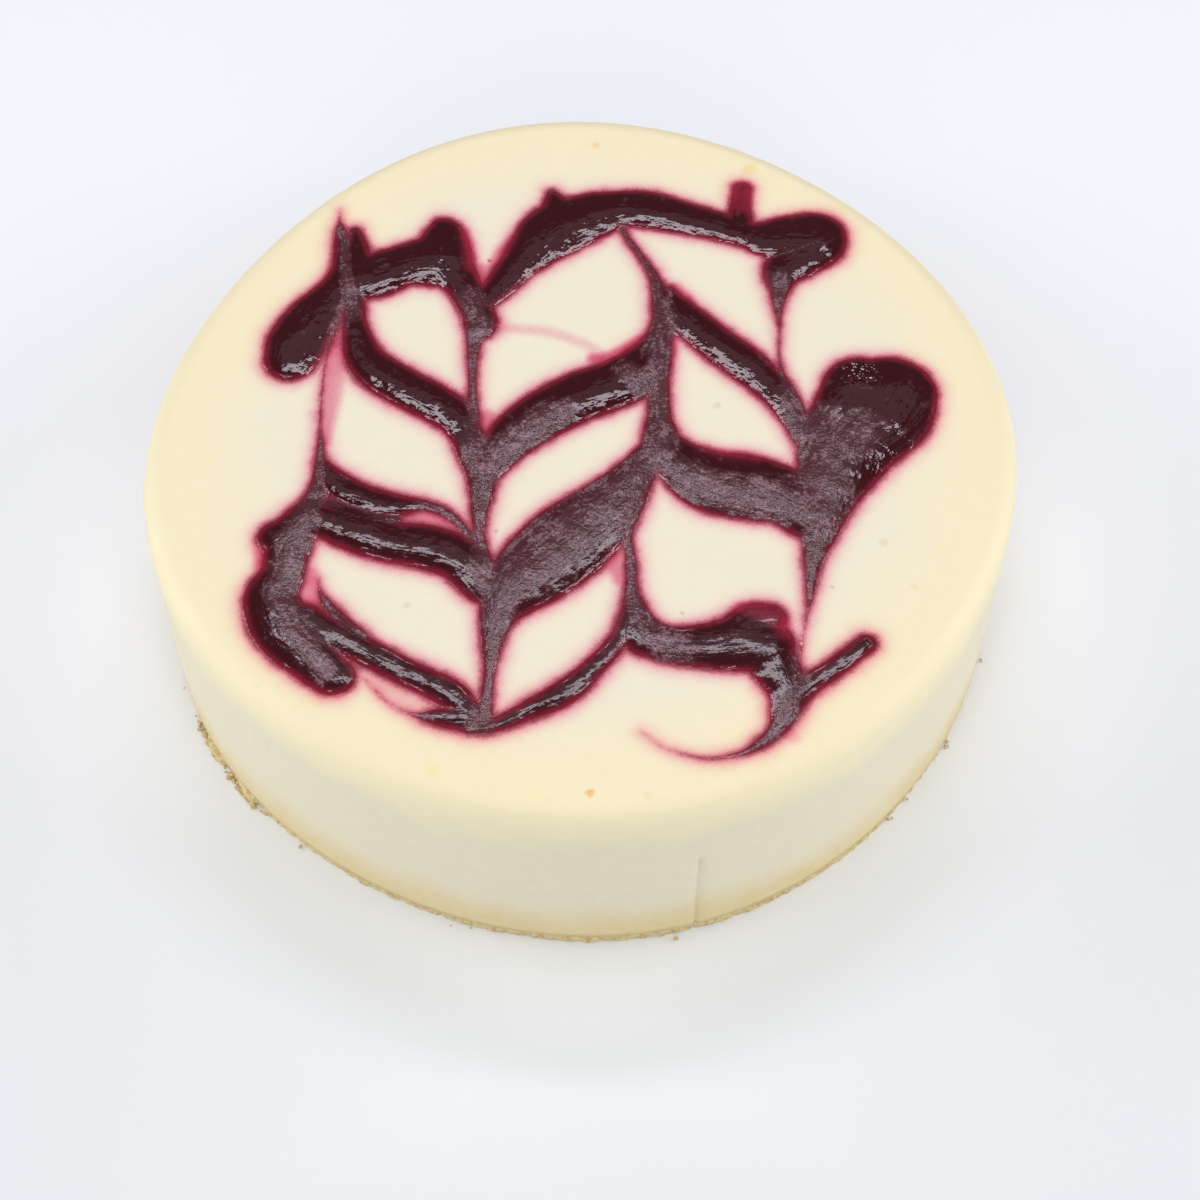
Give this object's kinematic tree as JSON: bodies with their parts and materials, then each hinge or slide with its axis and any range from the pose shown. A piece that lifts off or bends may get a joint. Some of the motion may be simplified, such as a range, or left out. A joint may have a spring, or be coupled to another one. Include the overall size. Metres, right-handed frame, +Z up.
{
  "type": "baked cheesecake",
  "caption": "Whole round baked cheesecake, tall with a softly rounded rim and a feathered dark fruit swirl on its top, on a thin biscuit base.",
  "frame": {"origin": "centre of the box's underside, on the surface that the cake stands on, close to the cake's upright middle line", "axes": "+Z up through the cake; -Y towards the side that the picture looks at, where the swirl's hook is; +X to the right in the picture"},
  "size_m": [0.1998, 0.2036, 0.0599],
  "materials": {
    "cream_filling": "satin pale cream, yellower at the rim and foot",
    "fruit_swirl": "glossy dark red fruit sauce with a crimson edge",
    "biscuit_base": "matt golden crushed biscuit"
  },
  "bodies": {
    "root": {"cheesecake": "cream_filling", "biscuit_base": "biscuit_base"}
  },
  "joints": []
}
